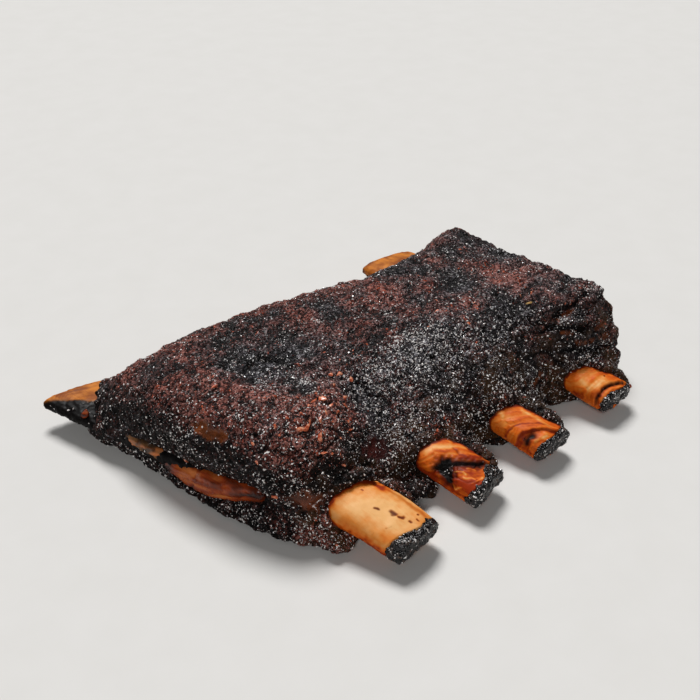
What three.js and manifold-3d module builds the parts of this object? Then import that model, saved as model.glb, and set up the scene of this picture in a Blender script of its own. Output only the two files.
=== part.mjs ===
// A rack of four smoked beef ribs: one slab of meat with a bark crust, and four rib bones that run
// through it and stand bare at both ends. The unit is the millimetre. X runs across the bones, Y along
// them with the bare sawn ends at -Y, and Z is up. The rack lies bone side down on a flat underside.
import * as THREE from "three";
import { mergeVertices } from "three/addons/utils/BufferGeometryUtils.js";
import Module from "manifold-3d";

// ---------- driving dimensions ----------
const FIT_GAP = 0.3; // clearance between a bone and the meat round it
const MERGE_DISTANCE = 1e-3; // points closer than this are one point
const BONE_SIDES = 18; // facets round a bone
const BONE_STEPS = 15; // sections along a bone
const BONE_SQUARENESS = 2.5; // exponent of the bone's oval section
const BELLY_SHARE = 0.8; // depth of the bone's underside as a share of its crown
const SLANT_FROM = 0.8; // share of the length where the back end's slanting cut begins
// Rounding of the ends: how far in from the end each small section lies, and its share of the full section.
const TIP_ROUNDING = [{ depth: 0, share: 0.8 }, { depth: 0.5, share: 0.94 }];
const BONE_CURVE = "centripetal";

// Each bone: its route from the sawn front end to the back, and its width and thickness at the front,
// the middle and the back. backSlant is the back end's run per millimetre across the bone.
const BONES = [
  {
    name: "bone_1",
    route: [[-110, -154, 9], [-112, -130, 13.5], [-116.5, -105, 15.5], [-126, -78, 15],
      [-136, -40, 13], [-142.5, 10, 12.5], [-152, 62, 12.5]],
    width: [33.5, 36, 36, 38, 42],
    thickness: [17, 17, 10],
    backSlant: 0.42,
  },
  {
    name: "bone_2",
    route: [[-56, -154, 9], [-56, -130, 13], [-58, -100, 16], [-62, -50, 17], [-67, 5, 15], [-74, 56, 10]],
    width: [30, 32, 42],
    thickness: [16, 16, 11],
    backSlant: 0.1,
  },
  {
    name: "bone_3",
    route: [[-4, -154, 9], [-4, -130, 13], [-4, -100, 16], [-1, -50, 17], [3, 0, 15], [7, 46, 10]],
    width: [29, 31, 42],
    thickness: [16, 16, 11],
    backSlant: 0,
  },
  {
    name: "bone_4",
    route: [[56, -153, 9], [56, -130, 13], [58, -100, 16], [65, -50, 17], [73, 0, 16], [82, 46, 12.5]],
    width: [28, 31, 45],
    thickness: [16, 16, 11],
    backSlant: 0,
  },
];

// Stations round the meat, counter-clockwise from the near corner. foot is the outline on the ground,
// brow the shoulder where the side turns into the top, and swell how far the side stands out from the
// straight line between them, low, at mid height and high up.
const STATIONS = [
  { foot: [-132, -126], brow: [-122, -98, 44], swell: [3, 1, 3] },
  { foot: [-110, -124], brow: [-102, -94, 44], swell: [6, 1, 3] },
  { foot: [-80, -117], brow: [-78, -86, 43], swell: [7, 11, 8] },
  { foot: [-56, -124], brow: [-50, -86, 47], swell: [10, 13, 7] },
  { foot: [-26, -118], brow: [-22, -87, 50], swell: [8, 12, 7] },
  { foot: [-4, -131], brow: [8, -95, 52], swell: [9, 11, 7] },
  { foot: [30, -122], brow: [36, -102, 52], swell: [5, 7, 4] },
  { foot: [58, -135], brow: [62, -109, 52], swell: [5, 7, 5] },
  { foot: [92, -131], brow: [92, -113, 50], swell: [3, 4, 3] },
  { foot: [106, -95], brow: [94, -88, 51], swell: [2, 3, 3] },
  { foot: [110, -45], brow: [92, -45, 52], swell: [2, 4, 4] },
  { foot: [108, 12], brow: [86, -7, 52], swell: [2, 4, 3] },
  { foot: [70, 20], brow: [50, -7, 49], swell: [2, 3, 2] },
  { foot: [10, 24], brow: [8, -6, 49], swell: [2, 3, 3] },
  { foot: [-50, 38], brow: [-52, 11, 49], swell: [2, 3, 3] },
  { foot: [-105, 46], brow: [-103, 22, 46], swell: [2, 3, 3] },
  { foot: [-148, 46], brow: [-142, 34, 33], swell: [2, 2, 3] },
  { foot: [-162, 32], brow: [-150, 22, 37], swell: [9, 5, 3] },
  { foot: [-160, 10], brow: [-151, 0, 44], swell: [3, 4, 4] },
  { foot: [-158, -18], brow: [-149, -22, 48], swell: [-1, 3, 5] },
  { foot: [-158, -48], brow: [-146, -48, 51], swell: [-5, 3, 5] },
  { foot: [-154, -78], brow: [-140, -76, 51], swell: [-8, 2, 5] },
  { foot: [-147, -104], brow: [-132, -93, 47], swell: [-1, 3, 5] },
];
const ROUND_STEPS = 90; // facets round the meat
const SIDE_ROWS = [0.06, 0.14, 0.24, 0.36, 0.5, 0.64, 0.78, 0.9];
const TOP_ROWS = [1, 0.94, 0.86, 0.76, 0.64, 0.5, 0.35, 0.2, 0.08]; // shares of the way out to the brow
const UNDER_ROWS = [0.35, 0.68, 0.93, 1]; // shares of the way out to the foot
// The rows of the top and the underside shrink towards a straight spine down the middle of the slab,
// which itself shrinks to its middle as the rows do.
const SPINE = { middleX: -28, reachX: 70, y: -42 };
const SPINE_KEPT = 2; // how fast the spine shrinks: an exponent of the share
const FOOT_LIFT = 1.5; // height of the outermost underside ring
const OUTLINE_TENSION = 0.5;
const OUTLINE_AHEAD = 0.01; // share of the outline between the two points that give its direction

// The top: a level plateau with broad mounds and hollows on it.
const PLATEAU = 56;
const MOUNDS = [
  { at: [-128, -48], reach: [26, 46], rise: 4 }, // the thick muscle along the first bone
  { at: [-84, -38], reach: [18, 42], rise: -5 }, // the dip beside it
  { at: [0, -55], reach: [60, 34], rise: 4 },
  { at: [78, -8], reach: [16, 14], rise: 7 }, // the knob at the back corner
];
const PLATEAU_FADE = 4; // how sharply the plateau turns down into the brow

// ---------- shared helpers ----------
// Closed skin over rings of equal point count, with a pole before the first and after the last.
function skin(rings, firstPole, lastPole) {
  const count = rings[0].length;
  const points = [firstPole, ...rings.flat(), lastPole];
  const lastRing = rings.length - 1;
  const index = [];
  const at = (ring, i) => 1 + ring * count + (i % count);
  for (let i = 0; i < count; i++) {
    index.push(0, at(0, i + 1), at(0, i));
    for (let ring = 0; ring < lastRing; ring++) {
      index.push(at(ring, i), at(ring, i + 1), at(ring + 1, i + 1));
      index.push(at(ring, i), at(ring + 1, i + 1), at(ring + 1, i));
    }
    index.push(points.length - 1, at(lastRing, i), at(lastRing, i + 1));
  }
  const geometry = new THREE.BufferGeometry().setFromPoints(points);
  geometry.setIndex(index);
  return geometry;
}

// A value that passes smoothly through evenly spaced samples, for share from 0 to 1.
function along(samples, share) {
  const curve = new THREE.SplineCurve(samples.map((value, i) => new THREE.Vector2(i, value)));
  return curve.getPoint(share).y;
}

// ---------- bones ----------
// Where a bone's sections lie: share of the route, share of the full section, and which end it caps.
function boneSections(length) {
  const front = TIP_ROUNDING.map(({ depth, share }) => ({ t: depth / length, share, end: -1 }));
  const back = TIP_ROUNDING.map(({ depth, share }) => ({ t: 1 - depth / length, share, end: 1 }));
  const shaft = [];
  for (let i = 1; i < BONE_STEPS; i++) shaft.push({ t: i / BONE_STEPS, share: 1, end: 0 });
  return [...front, ...shaft, ...back.reverse()];
}

// A squared-off oval, flatter below than above, as [across, rise] pairs, clockwise from the right.
function boneOutline(halfWidth, halfThick) {
  const rounded = (value) => Math.sign(value) * Math.abs(value) ** (2 / BONE_SQUARENESS);
  return Array.from({ length: BONE_SIDES }, (_, k) => {
    const angle = (-2 * Math.PI * k) / BONE_SIDES;
    const height = halfThick * (Math.sin(angle) < 0 ? BELLY_SHARE : 1);
    return [rounded(Math.cos(angle)) * halfWidth, rounded(Math.sin(angle)) * height];
  });
}

// The bone grown by a margin all round, so that the same shape can cut its tunnel.
function boneGeometry({ route, width, thickness, backSlant }, margin) {
  const line = new THREE.CatmullRomCurve3(route.map((p) => new THREE.Vector3(...p)), false, BONE_CURVE);
  const up = new THREE.Vector3(0, 0, 1);
  const rings = boneSections(line.getLength()).map(({ t, share, end }) => {
    const centre = line.getPointAt(t);
    const ahead = line.getTangentAt(t);
    const side = new THREE.Vector3().crossVectors(ahead, up).normalize();
    const crown = new THREE.Vector3().crossVectors(side, ahead).normalize();
    const slant = backSlant * THREE.MathUtils.smoothstep(t, SLANT_FROM, 1);
    const halfWidth = (along(width, t) * share) / 2 + margin;
    const halfThick = (along(thickness, t) * share) / 2 + margin;
    return boneOutline(halfWidth, halfThick).map(([across, rise]) => centre.clone()
      .addScaledVector(side, across)
      .addScaledVector(crown, rise)
      .addScaledVector(ahead, margin * end - across * slant));
  });
  const pole = (t, end) => line.getPointAt(t).addScaledVector(line.getTangentAt(t), margin * end);
  return skin(rings, pole(0, -1), pole(1, 1));
}

// ---------- meat ----------
function topHeight(x, y) {
  return MOUNDS.reduce((height, { at, reach, rise }) => {
    const u = (x - at[0]) / reach[0];
    const v = (y - at[1]) / reach[1];
    return height + rise * Math.exp(-(u * u + v * v) / 2);
  }, PLATEAU);
}

// The point a share of the way from the spine out to an edge point.
function towardsSpine(edge, share) {
  const across = THREE.MathUtils.clamp(edge.x - SPINE.middleX, -SPINE.reachX, SPINE.reachX);
  const kept = across * share ** SPINE_KEPT;
  return new THREE.Vector3(SPINE.middleX + kept, SPINE.y, 0).lerp(edge, share);
}

// One smooth closed curve through a value of every station.
function roundStations(pick) {
  const points = STATIONS.map((station) => new THREE.Vector3(...pick(station)));
  return new THREE.CatmullRomCurve3(points, true, "catmullrom", OUTLINE_TENSION);
}

const foot = roundStations((station) => [...station.foot, FOOT_LIFT]);
const brow = roundStations((station) => station.brow);
const swell = roundStations((station) => station.swell);

// A point of the underside, from the spine at share 0 to the foot at share 1.
function underPoint(u, share) {
  return towardsSpine(foot.getPoint(u), share).setZ(share < 1 ? 0 : FOOT_LIFT);
}

// A point up the side, from the foot at share 0 to the brow at share 1.
function sidePoint(u, share) {
  const low = foot.getPoint(u);
  const back = low.clone().sub(foot.getPoint((u + OUTLINE_AHEAD) % 1));
  const outward = new THREE.Vector3(-back.y, back.x, 0).normalize();
  const bulge = swell.getPoint(u);
  const stand = along([0, bulge.x, bulge.y, bulge.z, 0], share);
  return low.lerp(brow.getPoint(u), share).addScaledVector(outward, stand);
}

// A point on the top, from the spine at share 0 to the brow at share 1.
function topPoint(u, share) {
  const edge = brow.getPoint(u);
  const point = towardsSpine(edge, share);
  return point.setZ(THREE.MathUtils.lerp(topHeight(point.x, point.y), edge.z, share ** PLATEAU_FADE));
}

function meatGeometry() {
  const round = Array.from({ length: ROUND_STEPS }, (_, i) => i / ROUND_STEPS);
  const ringsOf = (shares, pointAt) => shares.map((share) => round.map((u) => pointAt(u, share)));
  const rings = [
    ...ringsOf(UNDER_ROWS, underPoint),
    ...ringsOf(SIDE_ROWS, sidePoint),
    ...ringsOf(TOP_ROWS, topPoint),
  ];
  const base = new THREE.Vector3(SPINE.middleX, SPINE.y, 0);
  return skin(rings, base, base.clone().setZ(topHeight(base.x, base.y)));
}

// ---------- joining and cutting ----------
const wasm = await Module();
wasm.setup();

function toSolid(geometry) {
  const bare = geometry.clone();
  bare.deleteAttribute("normal");
  bare.deleteAttribute("uv");
  const merged = mergeVertices(bare, MERGE_DISTANCE);
  return new wasm.Manifold(new wasm.Mesh({
    numProp: 3,
    vertProperties: merged.attributes.position.array,
    triVerts: new Uint32Array(merged.index.array),
  }));
}

function toGeometry(solid) {
  const mesh = solid.getMesh();
  const geometry = new THREE.BufferGeometry();
  geometry.setAttribute("position", new THREE.BufferAttribute(mesh.vertProperties, 3));
  geometry.setIndex(new THREE.BufferAttribute(mesh.triVerts, 1));
  geometry.computeVertexNormals();
  return geometry;
}

// The meat with a tunnel for every bone.
function tunnelled(meat) {
  return BONES.reduce((solid, bone) => solid.subtract(toSolid(boneGeometry(bone, FIT_GAP))), toSolid(meat));
}

// ---------- assembly ----------
const barkFinish = new THREE.MeshStandardMaterial({ color: 0x2a1a16, roughness: 0.5, metalness: 0 });
const boneFinish = new THREE.MeshStandardMaterial({ color: 0xd9a05b, roughness: 0.45, metalness: 0 });

function named(name, geometry, material) {
  const mesh = new THREE.Mesh(geometry, material);
  mesh.name = name;
  return mesh;
}

const rack = new THREE.Group();
rack.add(named("meat", toGeometry(tunnelled(meatGeometry())), barkFinish));
for (const bone of BONES) rack.add(named(bone.name, boneGeometry(bone, 0), boneFinish));

// The origin is the middle of the rack's footprint, on the ground.
const box = new THREE.Box3().setFromObject(rack);
const middle = box.getCenter(new THREE.Vector3());
rack.position.set(-middle.x, -middle.y, -box.min.z);

export default rack;
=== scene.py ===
"""A smoked rack of four beef ribs on a pale floor: bark-crusted meat, bare rib bones and loose rub."""
import bisect
import math
import random

import bmesh
import bpy
from mathutils import Matrix, Vector, noise
from mathutils.bvhtree import BVHTree
from mathutils.kdtree import KDTree


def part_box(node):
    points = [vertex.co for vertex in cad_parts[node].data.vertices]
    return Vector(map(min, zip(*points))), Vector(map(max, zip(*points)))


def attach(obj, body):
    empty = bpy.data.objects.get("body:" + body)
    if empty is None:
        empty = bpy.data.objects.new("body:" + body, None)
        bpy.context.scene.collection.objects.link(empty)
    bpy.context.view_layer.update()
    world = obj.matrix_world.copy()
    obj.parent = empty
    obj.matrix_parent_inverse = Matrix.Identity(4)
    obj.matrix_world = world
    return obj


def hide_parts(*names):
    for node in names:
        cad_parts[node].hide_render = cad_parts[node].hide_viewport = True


NOISE_SEED = 5  # without one, noise vectors differ from run to run

noise.seed_set(NOISE_SEED)
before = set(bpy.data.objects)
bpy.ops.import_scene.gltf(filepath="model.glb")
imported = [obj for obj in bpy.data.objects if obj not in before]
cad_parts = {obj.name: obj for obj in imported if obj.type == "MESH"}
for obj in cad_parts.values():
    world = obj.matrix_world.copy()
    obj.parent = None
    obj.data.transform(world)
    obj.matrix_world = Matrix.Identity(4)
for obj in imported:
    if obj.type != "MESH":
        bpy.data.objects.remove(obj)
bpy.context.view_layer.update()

# ---------- camera ----------
MM = 0.001
SENSOR_WIDTH = 36.0
LENS = 59.143
AIM = Vector((30.6, 44.8, 0.0)) * MM
VIEW_DIRECTION = Vector((0.604548, 0.594734, -0.529919))
CAMERA_DISTANCE = 698.9 * MM


def add_camera():
    data = bpy.data.cameras.new("camera")
    data.sensor_width = SENSOR_WIDTH
    data.lens = LENS
    camera = bpy.data.objects.new("camera", data)
    camera.location = AIM - VIEW_DIRECTION * CAMERA_DISTANCE
    camera.rotation_mode = "QUATERNION"
    camera.rotation_quaternion = VIEW_DIRECTION.to_track_quat("-Z", "Y")
    bpy.context.scene.collection.objects.link(camera)
    bpy.context.scene.camera = camera


add_camera()

# ---------- driving dimensions, in millimetres ----------
SORT_DIRECTION = Vector((1.0, 37.13, 911.7))  # no two points of a skin lie equally far along it
MEAT_VOXEL = 1.2
BONE_VOXEL = 0.95
CHAR_VOXEL = 0.65
STRIP_VOXEL = 0.7
TUNNEL_LINING = 0.9  # meat faces closer than this to a bone line its tunnel
MEAT_TOP = 60.4  # no crust is higher than this
FRONT_REACH = 46  # how far from its sawn end a bone is modelled finely
FLAKE_LIFT = 0.3  # middle of a single flake above the crust
TRIES_PER_GRAIN = 120  # where grains are rare, a scatter stops after this many tries for each
BONES = ("bone_1", "bone_2", "bone_3", "bone_4")


# ---------- shared helpers ----------
def share_of(value):
    """A value held between 0 and 1."""
    return min(1.0, max(0.0, value))


def ramp(low, high, value):
    """0 below low, 1 above high, and a smooth step between them."""
    t = share_of((value - low) / (high - low))
    return t * t * (3.0 - 2.0 * t)


def spot(point, centre, reach):
    """1 at the centre of a soft oval spot, falling to 0 outside it."""
    square = sum(((p - c) / r) ** 2 for p, c, r in zip(point, centre, reach))
    return math.exp(-square)


def spots(point, table):
    """The sum of soft spots, each given as its centre, reach and height."""
    return sum(height * spot(point, centre, reach) for centre, reach, height in table)


def bell(distance, width):
    """1 at no distance, falling to 0 over a width."""
    return math.exp(-(distance / width) ** 2)


def wave(point, size, octaves=3):
    """Fractal noise of about -1 to 1, with features of a given size in millimetres."""
    return noise.fractal(point / size, 0.9, 2.0, octaves)


def clod(point, size):
    """Rounded lumps of a given size in millimetres with creases between them, from 0 to 1."""
    return max(0.0, 1.0 - noise.voronoi(point / size)[0][0] ** 2 * 1.6)


class Line:
    """A line drawn over a surface, that tells how far a point is from it and on which side."""

    STEP = 0.4

    def __init__(self, *corners):
        self.samples = []
        for start, end in zip(corners, corners[1:]):
            start, end = Vector(start), Vector(end)
            steps = max(1, round((end - start).length / self.STEP))
            for i in range(steps):
                self.samples.append((start.lerp(end, i / steps), (end - start).normalized()))
        self.tree = KDTree(len(self.samples))
        for i, (place, _) in enumerate(self.samples):
            self.tree.insert(place, i)
        self.tree.balance()

    def gap(self, point):
        return self.tree.find(point)[2]

    def run(self, point):
        """How far along the line the nearest place on it is."""
        return self.tree.find(point)[1] * self.STEP

    def beyond(self, point, normal):
        """How far in front of the line a point is, for a line that runs towards +X."""
        place, index, _ = self.tree.find(point)
        return -normal.cross(self.samples[index][1]).dot(point - place)


def cad_copy(name):
    """A bmesh of a CAD node's shape, with its loose triangles joined."""
    bm = bmesh.new()
    bm.from_mesh(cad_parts[name].data)
    bmesh.ops.remove_doubles(bm, verts=bm.verts, dist=0.01 * MM)
    return bm


def to_mesh(bm, name):
    mesh = bpy.data.meshes.new(name)
    bm.to_mesh(mesh)
    bm.free()
    return mesh


def in_order(bm, name):
    """The same shape with its points, edges and faces in an order that stays the same from run to run."""
    bm.verts.sort(key=lambda v: v.co.dot(SORT_DIRECTION))
    bm.edges.sort(key=lambda e: (e.verts[0].co + e.verts[1].co).dot(SORT_DIRECTION))
    bm.faces.sort(key=lambda f: f.calc_center_median().dot(SORT_DIRECTION))
    ordered = bmesh.new()
    ordered.from_mesh(to_mesh(bm, name))
    return ordered


def remeshed(bm, voxel, name):
    """The bmesh as one even closed skin, with a given voxel size in millimetres."""
    helper = bpy.data.objects.new(name, to_mesh(bm, name))
    bpy.context.scene.collection.objects.link(helper)
    modifier = helper.modifiers.new("remesh", "REMESH")
    modifier.mode = "VOXEL"
    modifier.voxel_size = voxel * MM
    graph = bpy.context.evaluated_depsgraph_get()
    skin = bmesh.new()
    skin.from_mesh(helper.evaluated_get(graph).to_mesh())
    bpy.data.objects.remove(helper)
    return in_order(skin, name)


def surface_points(bm):
    """Each vertex with its place in millimetres and the normal it had before any of them moved."""
    bm.normal_update()
    normals = [v.normal.copy() for v in bm.verts]
    for vert, normal in zip(bm.verts, normals):
        yield vert, vert.co / MM, normal


def add_shares(bm, *keys):
    """Values kept on a shape's points for its material and its grains, by name."""
    return {key: bm.verts.layers.float.new(key) for key in keys}


def keep_shares(vert, layers, **shares):
    for key, value in shares.items():
        vert[layers[key]] = value


def soften(bm, rounds, verts=None):
    for _ in range(rounds):
        bmesh.ops.smooth_vert(bm, verts=verts or bm.verts, factor=0.5,
                              use_axis_x=True, use_axis_y=True, use_axis_z=True)


def add_lumps(bm, lumps):
    """Add round lumps to a shape: each is a centre and a radius in millimetres."""
    for x, y, z, radius in lumps:
        bmesh.ops.create_icosphere(bm, subdivisions=2, radius=radius * MM,
                                   matrix=Matrix.Translation(Vector((x, y, z)) * MM))


def add_piece(name, mesh, material, replaced=(), smooth=True):
    """Link a finished mesh as a piece that rides with the rack."""
    mesh.name = name
    mesh.materials.clear()
    mesh.materials.append(material)
    mesh.polygons.foreach_set("use_smooth", [smooth] * len(mesh.polygons))
    piece = bpy.data.objects.new(name, mesh)
    bpy.context.scene.collection.objects.link(piece)
    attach(piece, "root")
    if replaced:
        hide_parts(*replaced)
    return piece


# ---------- shader building ----------
class Shader:
    """A material or node group under construction, whose nodes are added by short calls."""

    def __init__(self, tree):
        self.tree = tree

    def node(self, kind, **settings):
        made = self.tree.nodes.new(kind)
        for key, value in settings.items():
            setattr(made, key, value)
        return made

    def set(self, socket, value):
        """Link a socket to another node's output, or give it a fixed value."""
        if isinstance(value, bpy.types.NodeSocket):
            self.tree.links.new(value, socket)
        else:
            socket.default_value = value

    def made(self, kind, output, given, **settings):
        """Add a node, link or set its inputs, and hand back one of its outputs."""
        node = self.node(kind, **settings)
        for label, value in given.items():
            self.set(node.inputs[label], value)
        return node.outputs[output]

    def position(self):
        return self.node("ShaderNodeTexCoord").outputs["Object"]

    def attribute(self, name):
        return self.node("ShaderNodeAttribute", attribute_name=name).outputs["Fac"]

    def stretched(self, vector, scale, turn=(0.0, 0.0, 0.0)):
        return self.made("ShaderNodeMapping", "Vector", {"Vector": vector, "Scale": scale, "Rotation": turn})

    def noise(self, vector, scale, detail=3.0, roughness=0.55, distortion=0.0):
        return self.made("ShaderNodeTexNoise", "Fac", {"Vector": vector, "Scale": scale, "Detail": detail,
                                                       "Roughness": roughness, "Distortion": distortion})

    def cells(self, vector, scale, output="Distance"):
        return self.made("ShaderNodeTexVoronoi", output, {"Vector": vector, "Scale": scale}, feature="F1")

    def remap(self, value, low, high, new_low=0.0, new_high=1.0):
        return self.made("ShaderNodeMapRange", "Result",
                         {"Value": value, "From Min": low, "From Max": high, "To Min": new_low,
                          "To Max": new_high}, interpolation_type="SMOOTHSTEP")

    def math(self, operation, a, b=0.0):
        return self.made("ShaderNodeMath", "Value", {0: a, 1: b}, operation=operation)

    def times(self, a, b):
        return self.math("MULTIPLY", a, b)

    def centred(self, value):
        return self.math("SUBTRACT", value, 0.5)

    def total(self, *terms):
        """The sum of values, each given as (weight, value)."""
        result = None
        for weight, value in terms:
            term = value if weight == 1 else self.times(value, weight)
            result = term if result is None else self.math("ADD", result, term)
        return result

    def mix(self, share, a, b):
        return self.made("ShaderNodeMix", "Result", {"Factor": share, "A": a, "B": b}, data_type="RGBA")

    def mix_value(self, share, a, b):
        return self.made("ShaderNodeMix", "Result", {"Factor": share, "A": a, "B": b}, data_type="FLOAT")

    def palette(self, value, stops):
        """Colours along a value, as (place, colour) stops."""
        made = self.node("ShaderNodeValToRGB")
        self.set(made.inputs["Fac"], value)
        band = made.color_ramp
        while len(band.elements) < len(stops):
            band.elements.new(1.0)
        for element, (place, colour) in zip(band.elements, stops):
            element.position = place
            element.color = colour
        return made.outputs["Color"]

    def bump(self, height, strength, distance):
        return self.made("ShaderNodeBump", "Normal",
                         {"Strength": strength, "Distance": distance, "Height": height})

    def group(self, tree, **inputs):
        made = self.node("ShaderNodeGroup", node_tree=tree)
        for label, value in inputs.items():
            self.set(made.inputs[label], value)
        return made.outputs

    def dress(self, colour, roughness, shine, normal=None):
        """Give a material's surface its colour, roughness, specular level and bump."""
        surface = self.tree.nodes["Principled BSDF"]
        self.set(surface.inputs["Base Color"], colour)
        self.set(surface.inputs["Roughness"], roughness)
        surface.inputs["Specular IOR Level"].default_value = shine
        if normal is not None:
            self.set(surface.inputs["Normal"], normal)
        return surface


def new_material(name):
    material = bpy.data.materials.new(name)
    material.use_nodes = True
    return material, Shader(material.node_tree)


def new_group(name, inputs, outputs):
    """An empty node group: named float inputs with defaults, and (name, socket type) outputs."""
    tree = bpy.data.node_groups.new(name, "ShaderNodeTree")
    for label, value in inputs:
        socket = tree.interface.new_socket(label, in_out="INPUT", socket_type="NodeSocketFloat")
        socket.default_value = value
    for label, kind in outputs:
        tree.interface.new_socket(label, in_out="OUTPUT", socket_type=kind)
    shader = Shader(tree)
    return shader, shader.node("NodeGroupInput").outputs, shader.node("NodeGroupOutput").inputs


def rgb(red, green, blue):
    """A linear colour from display values of 0 to 255."""
    def linear(value):
        value /= 255.0
        return value / 12.92 if value <= 0.04045 else ((value + 0.055) / 1.055) ** 2.4
    return (linear(red), linear(green), linear(blue), 1.0)


def grain_group():
    """Grains of a given number per metre: a random value for each grain, and their height."""
    shader, given, out = new_group("grain", [("Scale", 600.0)],
                                   [("Chance", "NodeSocketFloat"), ("Height", "NodeSocketFloat")])
    place = shader.position()
    split = shader.node("ShaderNodeSeparateColor")
    shader.set(split.inputs["Color"], shader.cells(place, given["Scale"], "Color"))
    shader.set(out["Chance"], split.outputs["Red"])
    rough = shader.noise(place, shader.times(given["Scale"], 1.4), 2.0, 0.6)
    dome = shader.remap(shader.cells(place, given["Scale"]), 0.0, 0.75, 1.0, 0.0)
    shader.set(out["Height"], shader.total((1, dome), (0.8, rough)))
    return shader.tree


GRAIN = grain_group()

BARK_BLACK = rgb(8, 6, 6)
BARK_BROWN = rgb(56, 27, 20)
BARK_RED = rgb(116, 52, 44)
BARK_TAN = rgb(172, 112, 100)
BARK_OLIVE = rgb(64, 42, 20)
BARK_SHEEN_DARK = rgb(26, 25, 28)
BARK_GREY = rgb(62, 60, 64)
BARK_SHEEN_LIGHT = rgb(140, 136, 140)
SLICK_RED = rgb(76, 18, 9)
SLICK_BROWN = rgb(140, 70, 24)


def bark_material():
    """Coarse dark crust: black, brown and red grains, grey patches of painted sheen, greasy slick places,
    and painted shade in its hollows.
    """
    material, shader = new_material("bark")
    place = shader.position()
    red = shader.attribute("red")
    slick = shader.attribute("slick")
    grains = shader.group(GRAIN, Scale=1000.0)
    mottle = shader.noise(place, 85.0, 4.0, 0.6, 0.4)
    clump = shader.noise(place, 420.0, 3.0, 0.6)
    tone = shader.total((0.5, grains["Chance"]), (0.5, mottle), (0.45, clump), (0.16, red))
    plain = shader.palette(tone, [(0.0, BARK_BLACK), (0.76, BARK_BLACK), (0.9, BARK_BROWN),
                                  (1.0, BARK_GREY)])
    reddish = shader.palette(tone, [(0.62, BARK_BLACK), (0.77, BARK_BROWN), (0.9, BARK_RED),
                                    (1.0, BARK_TAN)])
    # Painted sheen: in the grey patches the colour turns dim to pale grey.
    sheen_colour = shader.palette(tone, [(0.62, BARK_BLACK), (0.76, BARK_SHEEN_DARK), (0.9, BARK_GREY),
                                  (1.0, BARK_SHEEN_LIGHT)])
    colour = shader.mix(red, plain, reddish)
    colour = shader.mix(shader.attribute("grey"), colour, sheen_colour)
    olive = shader.times(shader.attribute("olive"), shader.remap(mottle, 0.4, 0.6))
    colour = shader.mix(olive, colour, BARK_OLIVE)
    # Painted shade: the crust's hollows and creases are darkened towards black.
    colour = shader.mix(shader.times(shader.attribute("hollow_shade"), 0.95), colour, BARK_BLACK)
    slick_colour = shader.mix(shader.attribute("brown"), SLICK_RED, SLICK_BROWN)
    slick_colour = shader.mix(shader.remap(mottle, 0.36, 0.56, 0.5, 0.0), slick_colour, BARK_BLACK)
    colour = shader.mix(slick, colour, slick_colour)
    surface = shader.dress(colour, shader.remap(clump, 0.35, 0.65, 0.35, 0.6), 0.12,
                           shader.bump(grains["Height"], 0.9, 0.7 * MM))
    wet = shader.times(shader.attribute("grey"), shader.remap(clump, 0.5, 0.62, 0.0, 0.5))
    shader.set(surface.inputs["Coat Weight"], shader.math("MAXIMUM", shader.times(slick, 0.45), wet))
    surface.inputs["Coat Roughness"].default_value = 0.16
    return material


def crumb_material(name, colours, roughness, shine, middle=0.5):
    """Rub grains whose colour changes from grain to grain, with glossy facets."""
    material, shader = new_material(name)
    place = shader.position()
    places = (0.0, middle, 1.0) if len(colours) == 3 else (0.0, 1.0)
    stops = [(stop, rgb(*colour)) for stop, colour in zip(places, colours)]
    colour = shader.palette(shader.remap(shader.noise(place, 520.0, 2.0), 0.32, 0.68), stops)
    fine = shader.noise(place, 900.0, 1.0)
    shader.dress(colour, shader.remap(fine, 0.35, 0.65, roughness - 0.05, roughness + 0.12), shine)
    return material


BONE_CREAM = rgb(238, 180, 114)
BONE_TAN = rgb(226, 138, 60)
BONE_ORANGE = rgb(216, 100, 22)
BONE_RUST = rgb(160, 50, 10)
BONE_BROWN = rgb(66, 22, 7)
BONE_AMBER = rgb(206, 124, 42)
BONE_OCHRE = rgb(152, 78, 20)
CHAR_AND_SHADE_BLACK = rgb(11, 8, 8)
CHAR_GREY = rgb(42, 38, 40)
CHAR_TAN = rgb(84, 66, 56)
STRIP_OLIVE = rgb(126, 86, 52)
STRIP_ORANGE = rgb(196, 108, 50)
STRIP_RUST = rgb(148, 58, 20)
STRIP_BROWN = rgb(44, 12, 5)


def bone_material():
    """Smoke-stained rib bone: cream to orange, with fibres along it, cracks painted black with shade, and
    burnt ends.
    """
    material, shader = new_material("bone")
    place = shader.position()
    tone = shader.attribute("tone")
    fibre = shader.noise(shader.stretched(place, (520.0, 60.0, 520.0)), 1.0, 3.0, 0.55, 0.4)
    cloud = shader.noise(place, 110.0, 4.0)
    shade = shader.total((1, tone), (0.35, shader.centred(fibre)), (0.7, shader.centred(cloud)))
    colour = shader.palette(shade, [(0.0, BONE_CREAM), (0.35, BONE_TAN), (0.68, BONE_ORANGE),
                                    (1.0, BONE_RUST)])
    amber = shader.mix(shader.remap(shade, 0.3, 0.7), BONE_AMBER, BONE_OCHRE)
    colour = shader.mix(shader.attribute("amber"), colour, amber)
    fleck = shader.remap(shader.noise(place, 420.0, 3.0, 0.6), 0.62, 0.72, 0.0, 0.4)
    stain = shader.math("MAXIMUM", shader.attribute("stain"), shader.times(fleck, tone))
    colour = shader.mix(stain, colour, BONE_BROWN)
    # Black of the burnt ends, and painted shade in cracks, cavities, by the meat and in the near side's
    # windows.
    colour = shader.mix(shader.attribute("dark"), colour, CHAR_AND_SHADE_BLACK)
    shader.dress(colour, shader.remap(cloud, 0.3, 0.7, 0.4, 0.58), 0.1, shader.bump(fibre, 0.35, 0.25 * MM))
    return material


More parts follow.
